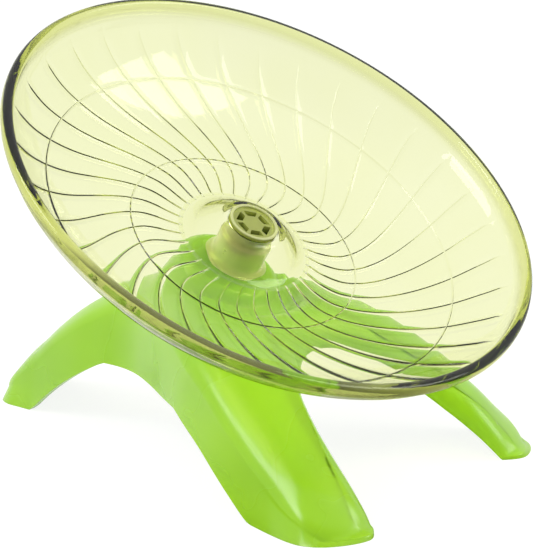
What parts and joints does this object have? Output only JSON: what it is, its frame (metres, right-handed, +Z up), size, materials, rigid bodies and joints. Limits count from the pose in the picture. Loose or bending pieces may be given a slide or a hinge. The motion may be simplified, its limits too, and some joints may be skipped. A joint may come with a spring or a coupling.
{
  "type": "pet running saucer",
  "caption": "Free-standing running saucer for a small pet: a clear ribbed dish spins on a tilted ball-bearing axle over a moulded tripod stand.",
  "frame": {"origin": "on the floor, under the middle of the whole's plan, between the low edge of the dish and the toe of the rear leg", "axes": "+Z up, the dish leans towards -Y, the single rear leg points to +Y, X across the two front legs"},
  "size_m": [0.18, 0.2032, 0.1426],
  "materials": {
    "stand_green": "glossy moulded lime green plastic",
    "saucer_clear": "clear yellow-green moulded plastic",
    "plug_clear": "clear yellow-green moulded plastic",
    "sleeve_frosted": "frosted natural plastic",
    "axle_steel": "bright turned steel",
    "ring_steel": "dark spring steel",
    "bearing_steel": "polished bearing steel",
    "cage_brass": "pressed brass"
  },
  "bodies": {
    "stand_body": {"stand": "stand_green", "upper_outer_race": "bearing_steel", "lower_outer_race": "bearing_steel"},
    "spinner": {"saucer": "saucer_clear", "hub_plug": "plug_clear", "hub_sleeve": "sleeve_frosted", "axle": "axle_steel", "retaining_ring": "ring_steel", "bearing_spacer": "ring_steel", "thrust_washer": "ring_steel", "upper_inner_race": "bearing_steel", "lower_inner_race": "bearing_steel"},
    "ball_cages": {"upper_ball_cage": "cage_brass", "upper_ball_1": "bearing_steel", "upper_ball_2": "bearing_steel", "upper_ball_3": "bearing_steel", "upper_ball_4": "bearing_steel", "upper_ball_5": "bearing_steel", "upper_ball_6": "bearing_steel", "upper_ball_7": "bearing_steel", "lower_ball_cage": "cage_brass", "lower_ball_1": "bearing_steel", "lower_ball_2": "bearing_steel", "lower_ball_3": "bearing_steel", "lower_ball_4": "bearing_steel", "lower_ball_5": "bearing_steel", "lower_ball_6": "bearing_steel", "lower_ball_7": "bearing_steel"}
  },
  "joints": [
    {"name": "saucer_spin", "type": "hinge", "parent": "stand_body", "child": "spinner", "pos_m": [0, -0.00737, 0.0608], "axis": [0, -0.5779, 0.8161], "continuous": true},
    {"name": "cage_spin", "type": "hinge", "parent": "stand_body", "child": "ball_cages", "pos_m": [0, -0.00737, 0.0608], "axis": [0, -0.5779, 0.8161], "continuous": true}
  ],
  "couplings": [
    {"joint": "cage_spin", "follows": "saucer_spin", "ratio": 0.3785}
  ]
}
